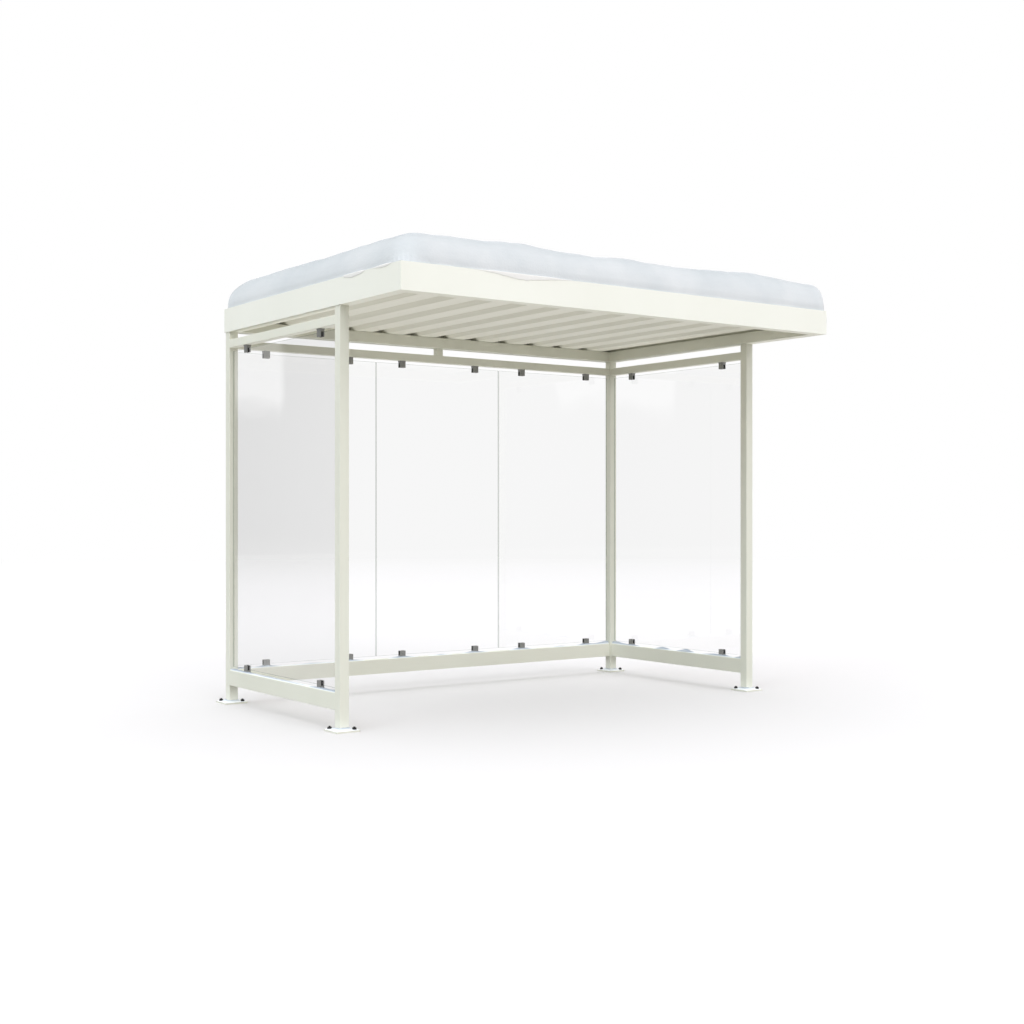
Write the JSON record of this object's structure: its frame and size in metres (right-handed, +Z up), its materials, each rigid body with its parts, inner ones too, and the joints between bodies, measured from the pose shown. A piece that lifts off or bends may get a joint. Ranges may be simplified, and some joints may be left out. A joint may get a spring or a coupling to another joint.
{
  "type": "smoking shelter",
  "caption": "Open-fronted smoking shelter with a cream powder-coated frame on bolted base plates, clamped glass walls, a ribbed sheet roof behind a deep fascia, and snow on the roof.",
  "frame": {"origin": "on the ground, at the centre of the bounding box seen from above", "axes": "+X along the back wall, +Y from the open front to the back wall, +Z up"},
  "size_m": [3.385, 2.2874, 2.8133],
  "materials": {
    "frame_paint": "cream-white powder coat, slightly glossy",
    "sheet_paint": "cream-white coil coat, satin",
    "glass": "clear polished",
    "clamp_steel": "fine satin",
    "liner_rubber": "matt black",
    "snow": "settled snow, matt"
  },
  "bodies": {
    "root": {"roof_beam_front": "frame_paint", "roof_beam_rear": "frame_paint", "roof_beam_left": "frame_paint", "roof_beam_right": "frame_paint", "fascia_front": "frame_paint", "fascia_rear": "frame_paint", "fascia_left": "frame_paint", "fascia_right": "frame_paint", "roof_sheet_left": "sheet_paint", "roof_sheet_middle": "sheet_paint", "roof_sheet_right": "sheet_paint", "post_front_left": "frame_paint", "post_front_right": "frame_paint", "post_rear_left": "frame_paint", "post_rear_right": "frame_paint", "base_plate_front_left": "frame_paint", "base_plate_front_right": "frame_paint", "base_plate_rear_left": "frame_paint", "base_plate_rear_right": "frame_paint", "top_rail_left": "frame_paint", "top_rail_back": "frame_paint", "top_rail_right": "frame_paint", "back_spacer": "frame_paint", "bottom_rail_left": "frame_paint", "bottom_rail_back": "frame_paint", "bottom_rail_right": "frame_paint", "glass_left": "glass", "glass_back_left": "glass", "glass_back_middle": "glass", "glass_back_right": "glass", "glass_right": "glass", "clamps_left": "clamp_steel", "clamps_back": "clamp_steel", "clamps_right": "clamp_steel", "clamp_liners": "liner_rubber", "roof_snow": "snow"}
  },
  "joints": []
}
